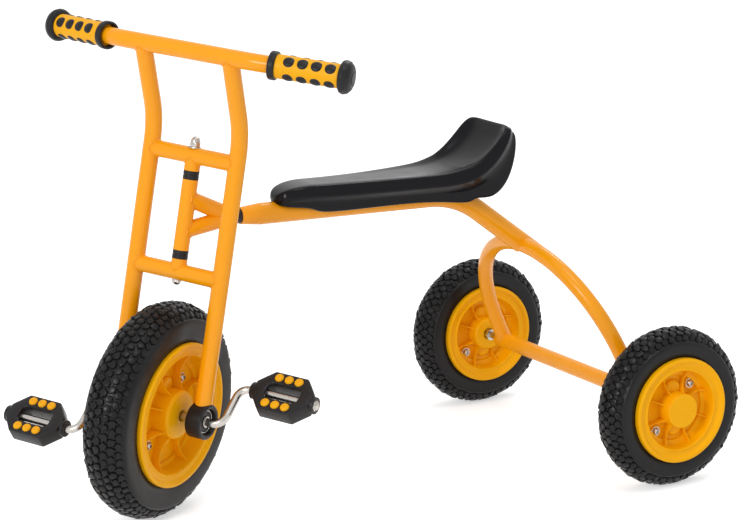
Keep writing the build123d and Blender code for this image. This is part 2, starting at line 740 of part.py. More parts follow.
# Seat: a long moulded saddle of rings from nose to tail, whose tail sweeps up into a wide tray
seat_reach = main_start.X - seat_nose_gap - bend_point.X
seat_rings = [
    (Vector(share * seat_reach, 0, crown), Vector(share * seat_reach, 0, keel), seat_dish, *widths)
    for share, crown, keel, *widths in seat_front_rings
]
seat_rings += [
    (Vector(crown_x, 0, crown_z), Vector(keel_x, 0, keel_z), seat_tail_dish, *widths)
    for crown_x, crown_z, keel_x, keel_z, *widths in seat_tail_rings
]
with BuildPart() as seat:
    for crown, keel, dish, top, ledge, skirt, drop in seat_rings:
        high = (crown - keel).length
        dip = min(dish, high / 4)
        edge_radius = min(seat_edge_radius, drop / 3)
        facing = Vector(0, 1, 0).cross(crown - keel)
        with BuildSketch(Plane(origin=bend_point + keel, x_dir=(0, 1, 0), z_dir=facing)) as ring:
            with BuildLine():
                ThreePointArc((-top, high), (0, high - dip), (top, high))
                Polyline(
                    (top, high),
                    (ledge, high - drop),
                    (skirt, (high - drop) / 2),
                    (skirt, 0),
                    (-skirt, 0),
                    (-skirt, (high - drop) / 2),
                    (-ledge, high - drop),
                    (-top, high),
                )
            make_face()
            corners = ring.vertices().group_by(Axis.Z)
            fillet(corners[-1], edge_radius)
    loft()
    add(main_tube.part, mode=Mode.SUBTRACT)
seat.part.label = "seat"
export_step(seat.part, "parts/seat.step")
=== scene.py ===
import json
import random
from math import atan2, cos, radians, sin, sqrt, tau

import bmesh
import bpy
from mathutils import Matrix, Vector


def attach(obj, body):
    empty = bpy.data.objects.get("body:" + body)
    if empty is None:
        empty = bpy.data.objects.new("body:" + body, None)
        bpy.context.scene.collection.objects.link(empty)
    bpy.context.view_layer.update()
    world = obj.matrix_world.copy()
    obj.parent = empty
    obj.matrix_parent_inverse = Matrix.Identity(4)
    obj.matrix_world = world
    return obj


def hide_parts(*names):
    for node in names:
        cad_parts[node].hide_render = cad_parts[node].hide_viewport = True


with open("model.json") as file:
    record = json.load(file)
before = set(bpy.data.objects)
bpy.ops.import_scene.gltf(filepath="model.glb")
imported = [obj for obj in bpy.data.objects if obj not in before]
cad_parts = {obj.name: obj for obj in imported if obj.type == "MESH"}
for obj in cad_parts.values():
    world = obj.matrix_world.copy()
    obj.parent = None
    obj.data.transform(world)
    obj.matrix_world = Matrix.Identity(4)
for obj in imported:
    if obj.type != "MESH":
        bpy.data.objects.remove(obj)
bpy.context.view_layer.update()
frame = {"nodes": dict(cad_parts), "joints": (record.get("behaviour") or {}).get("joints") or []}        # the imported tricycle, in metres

mm = 0.001
mergeGap = 0.005         # a piece's vertices that are nearer, in millimetres, become one
seamGap = 0.001          # the same where a spun shape closes
joints = {joint["name"]: joint for joint in frame["joints"]}


# placing: each assembly has its own axes in millimetres
def placeAt(origin, x, y, z):
    turn = Matrix((x, y, z)).transposed().to_4x4()
    return Matrix.Translation(origin) @ turn @ Matrix.Scale(mm, 4)


forkUp = Vector(joints["steering"]["axis"])
forkLeft = Vector(joints["front_wheel_spin"]["axis"])
forkAhead = forkLeft.cross(forkUp)
frontAxle = Vector(joints["front_wheel_spin"]["pos_m"])
forkPlace = placeAt(frontAxle, forkAhead, forkLeft, forkUp)
rearAxle = {side: Vector(joints[f"rear_wheel_{side}_spin"]["pos_m"]) for side in ("left", "right")}
framePlace = Matrix.Scale(mm, 4)
rearX = rearAxle["left"].x / mm
sides = (("left", 1), ("right", -1))
upright = Matrix.Rotation(radians(90), 4, "X")  # turns a shape's Y axis to Z


# a local Y axis laid from a point along a direction
def pointing(origin, direction):
    turn = Vector(direction).to_track_quat("Y", "Z").to_matrix().to_4x4()
    return Matrix.Translation(origin) @ turn


# colours are sRGB hex values, turned to the linear numbers that the shader works in
def linear(hexColour):
    channels = [int(hexColour[i:i + 2], 16) / 255 for i in (1, 3, 5)]
    return [c / 12.92 if c <= 0.04045 else ((c + 0.055) / 1.055) ** 2.4 for c in channels] + [1]


# adds one node: small letters are its settings, capitals and numbers its sockets
def addNode(tree, kind, values=None, links=None):
    node = tree.nodes.new(kind)
    for name, value in (values or {}).items():
        if isinstance(name, str) and name.islower():
            setattr(node, name, value)
        else:
            node.inputs[name].default_value = value
    for name, socket in (links or {}).items():
        tree.links.new(socket, node.inputs[name])
    return node


# what every finish shares: the clouds' noise, the part of its range that sets the roughness, and the
# grain's detail
clouding = {"detail": 4, "roughness": 0.6, "low": 0.35, "high": 0.65, "grainDetail": 2}


# a finish: two near tones clouded together, a roughness that wanders, and a fine grain as bump
def makeFinish(name, look):
    material = bpy.data.materials.new(name)
    material.use_nodes = True
    tree = material.node_tree
    shader = tree.nodes["Principled BSDF"]
    for socket, value in look["shader"].items():
        shader.inputs[socket].default_value = value
    place = addNode(tree, "ShaderNodeTexCoord").outputs["Object"]
    clouds = addNode(tree, "ShaderNodeTexNoise",
                     {"Scale": 1 / (look["cloudSize"] * mm), "Detail": clouding["detail"],
                      "Roughness": clouding["roughness"]}, {"Vector": place})
    # a colour mix has its two colours in sockets 6 and 7, and its result in output 2
    tone = addNode(tree, "ShaderNodeMix",
                   {"data_type": "RGBA", 6: linear(look["colour"]), 7: linear(look["second"])},
                   {0: clouds.outputs["Fac"]})
    low, high = look["roughness"]
    rough = addNode(tree, "ShaderNodeMapRange",
                    {"From Min": clouding["low"], "From Max": clouding["high"],
                     "To Min": low, "To Max": high}, {"Value": clouds.outputs["Fac"]})
    grain = addNode(tree, "ShaderNodeTexNoise",
                    {"Scale": 1 / (look["grainSize"] * mm), "Detail": clouding["grainDetail"]},
                    {"Vector": place})
    bump = addNode(tree, "ShaderNodeBump",
                   {"Strength": look["bumpStrength"], "Distance": look["grainHeight"] * mm},
                   {"Height": grain.outputs["Fac"]})
    tree.links.new(tone.outputs[2], shader.inputs["Base Color"])
    tree.links.new(rough.outputs["Result"], shader.inputs["Roughness"])
    tree.links.new(bump.outputs["Normal"], shader.inputs["Normal"])
    return material


# the sizes of clouds and grain are in millimetres
looks = {
    # polyester powder coat baked on steel tube: glossy, with the faint ripple called orange peel
    "orangePowderCoat": {
        "colour": "#F6A20B", "second": "#F09A08", "cloudSize": 40, "roughness": (0.2, 0.28),
        "grainSize": 2.2, "grainHeight": 0.05, "bumpStrength": 0.5,
        "shader": {"IOR": 1.5, "Specular IOR Level": 0.3},
    },
    # injection moulded polypropylene of the wheels: bright, slightly waxy, light goes in a little
    "yellowPolypropylene": {
        "colour": "#FBB603", "second": "#F6AC02", "cloudSize": 30, "roughness": (0.28, 0.4),
        "grainSize": 0.9, "grainHeight": 0.012, "bumpStrength": 1,
        "shader": {"IOR": 1.46, "Specular IOR Level": 0.14, "Subsurface Weight": 0.04,
                   "Subsurface Radius": (0.004, 0.002, 0.0005), "Subsurface Scale": 1.0},
    },
    # soft yellow plastic of the grips and studs, duller from hands and shoes
    "yellowGripVinyl": {
        "colour": "#F2AF14", "second": "#EAA510", "cloudSize": 14, "roughness": (0.38, 0.52),
        "grainSize": 0.7, "grainHeight": 0.02, "bumpStrength": 1,
        "shader": {"IOR": 1.5, "Specular IOR Level": 0.16},
    },
    # cured tyre rubber: nearly black, with fine mould texture and a dull sheen
    "tyreRubber": {
        "colour": "#0F0F10", "second": "#171617", "cloudSize": 22, "roughness": (0.28, 0.42),
        "grainSize": 0.9, "grainHeight": 0.06, "bumpStrength": 1,
        "shader": {"IOR": 1.5, "Specular IOR Level": 0.22},
    },
    # blow moulded polyethylene saddle: black, polished, broad soft reflections
    "blackPolyethylene": {
        "colour": "#0D0D10", "second": "#121216", "cloudSize": 35, "roughness": (0.17, 0.24),
        "grainSize": 1.6, "grainHeight": 0.02, "bumpStrength": 1,
        "shader": {"IOR": 1.52, "Specular IOR Level": 0.14},
    },
    # grip caps, flanges and dots: black rubber with a dull skin
    "blackGripRubber": {
        "colour": "#161618", "second": "#1D1D1F", "cloudSize": 10, "roughness": (0.32, 0.46),
        "grainSize": 0.6, "grainHeight": 0.03, "bumpStrength": 1,
        "shader": {"IOR": 1.5, "Specular IOR Level": 0.25},
    },
    # glass filled nylon of the pedals, housings, bushes and neck collar: black with a satin skin
    "blackNylon": {
        "colour": "#151313", "second": "#1D1A1A", "cloudSize": 12, "roughness": (0.3, 0.42),
        "grainSize": 0.5, "grainHeight": 0.03, "bumpStrength": 1,
        "shader": {"IOR": 1.53, "Specular IOR Level": 0.25},
    },
    # bright zinc plate on rods, fasteners and bearing races: drawn, slightly clouded metal
    "zincPlatedSteel": {
        "colour": "#CFCBC6", "second": "#ACA69F", "cloudSize": 9, "roughness": (0.16, 0.3),
        "grainSize": 0.5, "grainHeight": 0.008, "bumpStrength": 1,
        "shader": {"Metallic": 1.0},
    },
}
finishes = {name: makeFinish(name, look) for name, look in looks.items()}
print("finishes made")


# a mesh in an assembly's own millimetres becomes a piece of the tricycle
def addPiece(bm, name, body, finish, place, replaced=(), sharpAngle=35):
    bmesh.ops.remove_doubles(bm, verts=bm.verts, dist=mergeGap)
    bmesh.ops.recalc_face_normals(bm, faces=bm.faces)
    bmesh.ops.transform(bm, matrix=place, verts=bm.verts)
    if place.determinant() < 0:
        bmesh.ops.reverse_faces(bm, faces=bm.faces)
    mesh = bpy.data.meshes.new(name)
    bm.to_mesh(mesh)
    bm.free()
    mesh.shade_smooth()
    mesh.set_sharp_from_angle(angle=radians(sharpAngle))
    mesh.materials.append(finishes[finish])
    piece = bpy.data.objects.new(name, mesh)
    bpy.context.scene.collection.objects.link(piece)
    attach(piece, body)
    if replaced:
        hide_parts(*replaced)
    return piece


# an outline of (radius, along) points, its corners rounded, is spun round the Y axis
def spinOutline(bm, outline, steps, rounding=0, closed=True, place=None):
    line = bmesh.new()
    corners = [line.verts.new((r, along, 0)) for r, along in outline]
    for a, b in zip(corners, corners[1:]):
        line.edges.new((a, b))
    if closed:
        line.edges.new((corners[-1], corners[0]))
    if rounding:
        bmesh.ops.bevel(line, geom=corners if closed else corners[1:-1], offset=rounding, segments=3,
                        profile=0.5, affect="VERTICES", clamp_overlap=True, material=-1)
    bmesh.ops.spin(line, geom=line.verts[:] + line.edges[:], cent=(0, 0, 0), axis=(0, 1, 0), steps=steps,
                   angle=tau, use_merge=True)
    bmesh.ops.remove_doubles(line, verts=line.verts, dist=seamGap)
    joinInto(bm, line, place)


# moves one bmesh's shape into another
def joinInto(bm, part, matrix=None):
    if matrix is not None:
        bmesh.ops.transform(part, matrix=matrix, verts=part.verts)
    holder = bpy.data.meshes.new("holder")
    part.to_mesh(holder)
    part.free()
    bm.from_mesh(holder)
    bpy.data.meshes.remove(holder)


# the vertices that an extrusion has just made
def newVerts(result):
    return [item for item in result["geom"] if isinstance(item, bmesh.types.BMVert)]


# tyres: smooth walls, and a tread of small uneven blocks down to the shoulders
tyreSizes = {
    "front": {"radius": 160.0, "halfWidth": 36.7, "halfHeight": 27.3, "lip": 106.8, "pitches": 72},
    "rear": {"radius": 121.2, "halfWidth": 29.0, "halfHeight": 25.0, "lip": 79.6, "pitches": 54},
    # the wall from under its widest point to the bead: radius over the rim's lip, inset from the widest
    "wall": ((11, 0.1), (7, 0.6), (3, 1.6), (0, 3.0), (-4, 3.0)),
    "sectionSteps": 40,
    "steps": 148,
    # between the blocks the tyre is this deep, up to an angle from the middle, and then fades to full size
    "treadDepth": 3.4,
    "treadEnd": 66,
    "treadFade": 8,
    "rows": (-3, -2, -1, 0, 1, 2, 3),
    "rowSpacing": 0.33,      # radians of the section
    "groupPitches": 6,       # this many pitches are made, and their group is spun round
    "seed": 7,
}
blockSizes = {
    "corners": (5, 6, 6, 7),
    "radius": 7.3,
    "shoulderRadius": 7.0,   # the outermost rows have smaller and lower blocks
    "shoulderHeight": 3.0,
    "root": 0.6,             # how far a block's foot is sunk
    "rise": 0.3,             # its height past the tread's depth
    "spread": 0.26,          # how unlike each other the blocks are
    "aside": 0.7,
    "uneven": 0.5,
    "taper": 0.84,
    "tilt": 9,
    "edge": 0.7,
}


# a point of the tyre's section and the way it faces, at an angle from the middle of the tread
def sectionPoint(size, angle, depth=0.0):
    middle = size["radius"] - size["halfHeight"]
    facing = Vector((cos(angle) / size["halfHeight"], sin(angle) / size["halfWidth"], 0)).normalized()
    point = Vector((middle + size["halfHeight"] * cos(angle), size["halfWidth"] * sin(angle), 0))
    return point - facing * depth, facing


# one tread block: sides that lean in, a tilted top with soft edges, and unlike its neighbours
def addBlock(bm, size, row, turn, chance):
    depth = tyreSizes["treadDepth"]
    foot, facing = sectionPoint(size, row * tyreSizes["rowSpacing"], depth + blockSizes["root"])
    across = Vector((-facing.y, facing.x, 0))
    stand = Matrix((across, Vector((0, 0, 1)), facing)).transposed().to_4x4()
    shoulder = abs(row) == tyreSizes["rows"][-1]
    radius = blockSizes["shoulderRadius" if shoulder else "radius"]
    tall = blockSizes["shoulderHeight"] if shoulder else depth + blockSizes["rise"]
    spread, aside = blockSizes["spread"], blockSizes["aside"]
    uneven, tilt = blockSizes["uneven"], blockSizes["tilt"]
    block = bmesh.new()
    bmesh.ops.create_circle(block, cap_ends=True, segments=chance.choice(blockSizes["corners"]),
                            radius=radius * (foot.x / size["radius"]) ** 0.5)
    for corner in block.verts:
        corner.co.xy *= 1 + chance.uniform(-spread, spread / 3)
    bmesh.ops.rotate(block, cent=(0, 0, 0), verts=block.verts,
                     matrix=Matrix.Rotation(chance.uniform(0, tau), 3, "Z"))
    bmesh.ops.translate(block, verts=block.verts,
                        vec=(chance.uniform(-aside, aside), chance.uniform(-aside, aside), 0))
    top = bmesh.ops.extrude_face_region(block, geom=block.faces[:])
    topVerts = newVerts(top)
    bmesh.ops.translate(block, vec=(0, 0, tall + chance.uniform(-uneven, uneven)), verts=topVerts)
    bmesh.ops.scale(block, vec=(blockSizes["taper"], blockSizes["taper"], 1), verts=topVerts)
    for axis in ("X", "Y"):
        bmesh.ops.rotate(block, cent=(0, 0, tall), verts=topVerts,
                         matrix=Matrix.Rotation(radians(chance.uniform(-tilt, tilt)), 3, axis))
    rim = [edge for edge in block.edges if all(v in topVerts for v in edge.verts)]
    bmesh.ops.bevel(block, geom=rim, offset=blockSizes["edge"], segments=2, profile=0.5, affect="EDGES",
                    material=-1)
    joinInto(bm, block, Matrix.Rotation(turn, 4, "Y") @ Matrix.Translation(foot) @ stand)


def makeTyre(name, body, place, size, replaced):
    bm = bmesh.new()
    outline = []
    for i in range(tyreSizes["sectionSteps"] + 1):
        angle = -90 + 180 * i / tyreSizes["sectionSteps"]
        past = min(1, max(0, (abs(angle) - tyreSizes["treadEnd"]) / tyreSizes["treadFade"]))
        outline.append(sectionPoint(size, radians(angle), tyreSizes["treadDepth"] * (1 - past))[0].xy)
    wall = [(size["lip"] + over, size["halfWidth"] - inset) for over, inset in tyreSizes["wall"]]
    outline += [Vector(point) for point in wall]
    outline += [Vector((radius, -along)) for radius, along in reversed(wall)]
    spinOutline(bm, outline, tyreSizes["steps"])
    blocks = bmesh.new()
    chance = random.Random(tyreSizes["seed"])
    turn = tau / size["pitches"]
    for pitch in range(tyreSizes["groupPitches"]):
        for row in tyreSizes["rows"]:
            addBlock(blocks, size, row, turn * (pitch + (row % 2) / 2), chance)
    copies = size["pitches"] // tyreSizes["groupPitches"]
    bmesh.ops.spin(blocks, geom=blocks.verts[:] + blocks.edges[:] + blocks.faces[:], cent=(0, 0, 0),
                   axis=(0, 1, 0), steps=copies - 1, angle=tau * (copies - 1) / copies, use_duplicate=True)
    bmesh.ops.recalc_face_normals(blocks, faces=blocks.faces)
    joinInto(bm, blocks)
    addPiece(bm, name, body, "tyreRubber", place, replaced, sharpAngle=30)


# each wheel's label, kind, body and place, with its axle along its Y axis
def wheelPlaces():
    yield "front", "front", "front_wheel", forkPlace
    for side in rearAxle:
        yield f"rear_{side}", "rear", f"rear_wheel_{side}", placeAt(rearAxle[side], *Matrix.Identity(3))


for label, kind, body, place in wheelPlaces():
    node = "front_tyre" if kind == "front" else f"rear_tyre_{label.removeprefix('rear_')}"
    makeTyre(f"{label}_tyre_tread", body, place, tyreSizes[kind], [node])
print("tyres made")


# wheel halves: lip ring, sunk web with a step, eight ribs, two bosses, two blank lobes and the hub
rimSizes = {
    "front": {"lip": 106.8, "lipAlong": 41.5, "ring": 88.6, "turn": -8.0, "seat": 33.7, "bolt": 58.0,
              "web": 8.5, "ribTop": 32.0, "scoop": 12.0, "hubRadius": 36.0,
              # the hub from its bore outwards: radius and height over the wheel's middle
              "hub": ((8, 0), (8, 39), (9.5, 40.5), (13, 40.5), (32.5, 38), (36, 34.5))},
    "rear": {"lip": 79.6, "lipAlong": 35.3, "ring": 61.0, "turn": 0.0, "seat": 26.0, "bolt": 45.0,
             "web": 8.5, "ribTop": 26.0, "scoop": 9.5, "hubRadius": 26.0,
             "hub": ((7.5, 0), (7.5, 31), (10, 34), (23.5, 34), (26, 31.5))},
    "middle": 0,
    "stepHeight": 5.0,
    # the section past the hub, out over web, step and lip and back inside: what the radius is measured from,
    # how far, what the height is measured from, how far
    "section": (
        ("hubRadius", 0.5, "web", 0), ("ring", -11.5, "web", 0),
        ("ring", -10.5, "step", 0), ("ring", -4, "step", 0),
        ("ring", -1.2, "lipAlong", -6), ("ring", 0, "lipAlong", -3.2),
        ("ring", 1.6, "lipAlong", -3.2), ("ring", 3.2, "lipAlong", -4.4),
        ("ring", 9, "lipAlong", -4.4), ("lip", -6, "lipAlong", -1),
        ("lip", -5, "lipAlong", 0), ("lip", -0.8, "lipAlong", 0),
        ("lip", 0.2, "lipAlong", -1.4), ("lip", 0.2, "seat", 0),
        ("lip", -7, "seat", 0), ("lip", -7, "middle", 0),
        ("lip", -11, "middle", 0), ("lip", -11, "web", -4),
        ("hubRadius", -4, "web", -4), ("hubRadius", -4, "middle", 0),
    ),
    # each rib's angle at the hub, half way out and at the ring
    "ribs": ((21.5, 21.5, 21.5), (62, 64, 66), (115, 110, 109), (146, 153, 159)),
    "ribThickness": 2.4,
    "ribShares": (0.5, 0.4, 0.25),  # half widths at foot, edge and top, as shares of the thickness
    "ribEdge": 0.7,
    "ribRoot": 1,            # how far a rib is sunk in web and hub
    "ribSteps": 10,
    # outlines of radius and height over the web
    "boss": ((0, 1), (7, 1), (7.6, 2.5), (9.2, 2.5), (9.7, -1), (0, -1)),
    "bossAngle": 133,
    "lobe": ((0, 6.5), (12.5, 6.5), (14.3, -1), (0, -1)),
    "lobeAngle": 87,
    "lobeReach": 4.0,        # from the hub's wall to the lobe's middle
}


# centre of the circle through three points in the wheel's plane, or None where they are in line
def circleThrough(a, b, c):
    d = 2 * (a.x * (b.y - c.y) + b.x * (c.y - a.y) + c.x * (a.y - b.y))
    if abs(d) < 1e-3:
        return None
    squares = Vector((a.length_squared, b.length_squared, c.length_squared))
    ux = squares.dot(Vector((b.y - c.y, c.y - a.y, a.y - b.y))) / d
    uy = squares.dot(Vector((c.x - b.x, a.x - c.x, b.x - a.x))) / d
    return Vector((ux, uy))


# a point of the wheel's plane, at an angle from ahead and upwards
def polar(radius, angle):
    return Vector((radius * cos(radians(angle)), radius * sin(radians(angle))))


# a rib stands on the web along an arc or a line, thinner at its rounded top, which is scooped out between
# hub and ring; sign is the side of the wheel it faces
def addRib(bm, start, middle, end, low, size, sign):
    rib = bmesh.new()
    high = size["ribTop"]
    centre = circleThrough(start, middle, end)
    if centre is None:
        ahead = (end - start).normalized()
    else:
        arm = start - centre
        turn = arm.angle_signed(end - centre)
        ahead = Vector((arm.y, -arm.x)).normalized() * (1 if turn > 0 else -1)
    side = Vector((-ahead.y, ahead.x))
    foot, edge, top = rimSizes["ribShares"]
    soft = high - rimSizes["ribEdge"]
    corners = []
    for across, along in ((-foot, low), (-edge, soft), (-top, high), (top, high), (edge, soft), (foot, low)):
        point = start + side * across * rimSizes["ribThickness"]
        corners.append(rib.verts.new((point.x, sign * along, point.y)))
    face = rib.faces.new(corners)
    if centre is None:
        moved = bmesh.ops.extrude_face_region(rib, geom=[face])
        bmesh.ops.translate(rib, vec=((end - start).x, 0, (end - start).y), verts=newVerts(moved))
        lengthwise = [edge for edge in rib.edges if edge.calc_length() > high]
        bmesh.ops.subdivide_edges(rib, edges=lengthwise, cuts=rimSizes["ribSteps"] - 1)
    else:
        bmesh.ops.spin(rib, geom=rib.verts[:] + rib.edges[:] + [face], cent=(centre.x, 0, centre.y),
                       axis=(0, 1, 0), steps=rimSizes["ribSteps"], angle=turn)
    for vert in rib.verts:
        if abs(vert.co.y) > low + 1:  # not the foot's vertices
            way = (Vector((vert.co.x, vert.co.z)).length - start.length) / (end.length - start.length)
            vert.co.y -= sign * size["scoop"] * max(0, 4 * way * (1 - way))
    joinInto(bm, rib)


# a round shape that stands on the wheel's plane at a point, facing out of the wheel
def standOn(point, along, sign):
    return Matrix.Translation((point.x, sign * along, point.y)) @ Matrix.Diagonal((1, sign, 1, 1))


def makeRimHalf(name, body, place, size, sign, replaced):
    bm = bmesh.new()
    at = {**rimSizes, **size, "step": size["web"] + rimSizes["stepHeight"]}
    outline = [*size["hub"]]
    outline += [(at[wide] + out, at[high] + up) for wide, out, high, up in rimSizes["section"]]
    spinOutline(bm, [(r, sign * y) for r, y in outline], steps=112, rounding=0.8)
    web, hub, ring, root = size["web"], size["hubRadius"], size["ring"], rimSizes["ribRoot"]
    for half in (0, 180):
        spin = size["turn"] + half
        for inner, mid, outer in rimSizes["ribs"]:
            addRib(bm, polar(hub - root, inner + spin), polar((hub + ring) / 2, mid + spin),
                   polar(ring, outer + spin), web - root, size, sign)
        bossPoint = polar(size["bolt"], rimSizes["bossAngle"] + spin)
        spinOutline(bm, rimSizes["boss"], steps=32, rounding=0.4, closed=False,
                    place=standOn(bossPoint, web, sign))
        lobePoint = polar(hub + rimSizes["lobeReach"], rimSizes["lobeAngle"] + spin)
        spinOutline(bm, rimSizes["lobe"], steps=40, rounding=3.5, closed=False,
                    place=standOn(lobePoint, web, sign))
    addPiece(bm, name, body, "yellowPolypropylene", place, replaced, sharpAngle=40)


# the two bolts of each side of a wheel: washer and domed head with a socket
boltSizes = {
    "washer": ((0, 1.4), (7.2, 1.4), (7.2, -0.2), (0, -0.2)),
    "head": ((0, 2.6), (2.5, 2.6), (2.8, 5.2), (3.9, 4.9), (5.5, 3.2), (6.1, 1.2), (0, 1.2)),
}


def makeWheelBolts(name, body, place, size):
    bm = bmesh.new()
    foot = size["web"] + rimSizes["boss"][0][1]
    for sign in (1, -1):
        for half in (0, 180):
            point = polar(size["bolt"], rimSizes["bossAngle"] + size["turn"] + half)
            for outline in boltSizes.values():
                spinOutline(bm, outline, steps=24, closed=False, place=standOn(point, foot, sign))
    addPiece(bm, name, body, "zincPlatedSteel", place, sharpAngle=30)


for label, kind, body, place in wheelPlaces():
    size = rimSizes[kind]
    if kind == "front":
        for side, sign in sides:
            makeRimHalf(f"front_rim_moulded_{side}", body, place, size, sign, [f"front_rim_{side}"])
        makeWheelBolts("front_wheel_bolts", body, place, size)
    else:
        side = label.removeprefix("rear_")
        outward = 1 if side == "left" else -1
        for name, sign in (("outer", outward), ("inner", -outward)):
            makeRimHalf(f"rear_rim_moulded_{name}_{side}", body, place, size, sign,
                        [f"rear_rim_{name}_{side}"])
        makeWheelBolts(f"rear_wheel_bolts_{side}", body, place, size)
print("rims made")


# saddle: rings from nose to tail, each from its crown on the top to its keel underneath
saddleSizes = {
    "edgeRadius": 6.0,
    "edgeLimits": (0.42, 0.5),  # shares of a ring's height and half width that the radius stays within
    "noseFrom": 470,         # from here on to the nose the top's edge gets rounder, by this share
    "noseShare": 0.14,
    "lip": 8.0,
    "lipLimit": 0.25,        # the share of a ring's half width that the lip stays within
    "smoothing": 3,
    # crown x and z, keel x and z, half widths at the top edge, ledge and skirt, dish of the top and
    # drop of the ledge, with x from the rear axle
    "rings": (
        (523, 453, 522, 444, 7, 7.5, 6.5, 0, 4),
        (518, 459, 517, 440, 18, 18.5, 16, 0, 9),
        (506, 465, 504, 437, 27.5, 28, 24, 0, 13),
        (486, 468.3, 484, 435, 32.5, 33.5, 28, 0, 15),
        (466, 469, 466, 431.5, 33.6, 36.5, 29, 0, 16),
        (456, 468.3, 457, 424.5, 34, 38, 29.5, 0, 16.5),
        (400, 466.5, 400, 423.5, 37, 41.5, 32, 0, 16.5),
        (340, 465.7, 340, 424, 42.5, 47.5, 36, 0.5, 16.5),
        (284, 466, 284, 423.5, 51, 55.5, 42, 2, 17),
        (246, 467, 244, 419.5, 56.5, 60.5, 48, 4, 18),
        (218, 473.8, 210, 414.5, 59.5, 63, 51, 7, 19.5),
        (211, 476.8, 203, 424, 60, 63.5, 51.5, 8, 20),
        (196, 485.3, 174, 418, 61, 64.5, 53, 12, 21),
        (178, 500.5, 151, 435, 62, 64.5, 53.5, 14, 20),
        (168, 511, 138, 460, 62, 64, 53.5, 14, 17),
        (160, 519.5, 131, 488, 61, 63, 53, 12, 13),
        (152, 527, 130, 508, 57.5, 59.5, 51, 3, 8),
        (144, 529.5, 132, 519, 50, 52, 47, 0, 5),
    ),
}


def makeSaddle():
    bm = bmesh.new()
    loops = []
    for crownX, crownZ, keelX, keelZ, top, ledge, skirt, dish, drop in saddleSizes["rings"]:
        crown = Vector((rearX + crownX, 0, crownZ))
        keel = Vector((rearX + keelX, 0, keelZ))
        high = (crown - keel).length
        up = (crown - keel).normalized()
        softer = max(0, crownX - saddleSizes["noseFrom"]) * saddleSizes["noseShare"]
        ofHeight, ofWidth = saddleSizes["edgeLimits"]
        soft = min(saddleSizes["edgeRadius"] + softer, high * ofHeight, top * ofWidth)
        lip = min(saddleSizes["lip"], top * saddleSizes["lipLimit"])
        half = [
            (0, high - dish),  # the top, dished between its lips
            (top * 0.5, high - dish * 0.97),
            (top - lip * 2.2, high - dish * 0.82),
            (top - lip, high - dish * 0.06),
            (top - soft * 0.3, high - soft * 0.15),  # the rounded edge
            (top, high - soft * 0.9),
            (ledge - 0.6, high - drop + min(3, drop * 0.3)),  # the ledge along the side
            (ledge, high - drop - 1),
            (ledge - (ledge - skirt) * 0.45, high - drop - min(5, drop * 0.4)),  # the skirt under it
            (skirt, (high - drop) * 0.55),
            (skirt - 0.4, min(2.4, high * 0.12)),
            (skirt - 3 * min(1, skirt / 20), 0),  # the flat underside
            (skirt * 0.45, 0),
        ]
        ring = half + [(-y, h) for y, h in reversed(half[1:])]
        verts = [bm.verts.new(keel + up * h + Vector((0, y, 0))) for y, h in ring]
        loops.append([bm.edges.new((a, b)) for a, b in zip(verts, verts[1:] + verts[:1])])
    for a, b in zip(loops, loops[1:]):
        bmesh.ops.bridge_loops(bm, edges=a + b)
    for end in (loops[0], loops[-1]):
        bmesh.ops.contextual_create(bm, geom=end)
    piece = addPiece(bm, "saddle_shell", "frame", "blackPolyethylene", framePlace, ["seat"],
                     sharpAngle=180)
    smooth = piece.modifiers.new("smooth", "SUBSURF")
    smooth.levels = saddleSizes["smoothing"]
    smooth.render_levels = saddleSizes["smoothing"]


makeSaddle()
print("saddle made")

# grips: yellow sleeve with domed black dots, a rounded flange and a mushroom cap
gripSizes = {
    "barBend": (58.0, 108.0, 524.0),  # in the fork's axes
    "sweep": 13.2,
    "start": 138.0,
    "end": 240.0,
    "bar": 12.5,
    "sleeve": 17.0,
    # how far the sleeve runs on at both ends: back into the flange, and past the grip's end inside the cap
    "tuck": 1,
    # outlines of radius and place along the grip, the flange's from its start and the cap's from its end
    "flange": ((16, -4), (20.4, -4), (20.4, 6.5), (16, 6.5)),
    "cap": ((0, 12.6), (9.5, 12.2), (10.4, 11.2), (11.8, 11), (12.8, 11.5), (18, 9.2), (22.4, 5), (24, -0.5),
            (22.6, -5), (19, -7.2), (12, -7.2), (0, -7.2)),
    "rows": 4,
    "columns": 4,
    "pitch": 20.0,
    # half sizes of a dot along, across and out of the sleeve, and its middle's radius
    "dot": (9.6, 7.9, 3.5),
    "dotMiddle": 15.0,
    # how far the rows are turned round the sleeve, in degrees
    "dotTurn": {"left": -34, "right": -68},
}


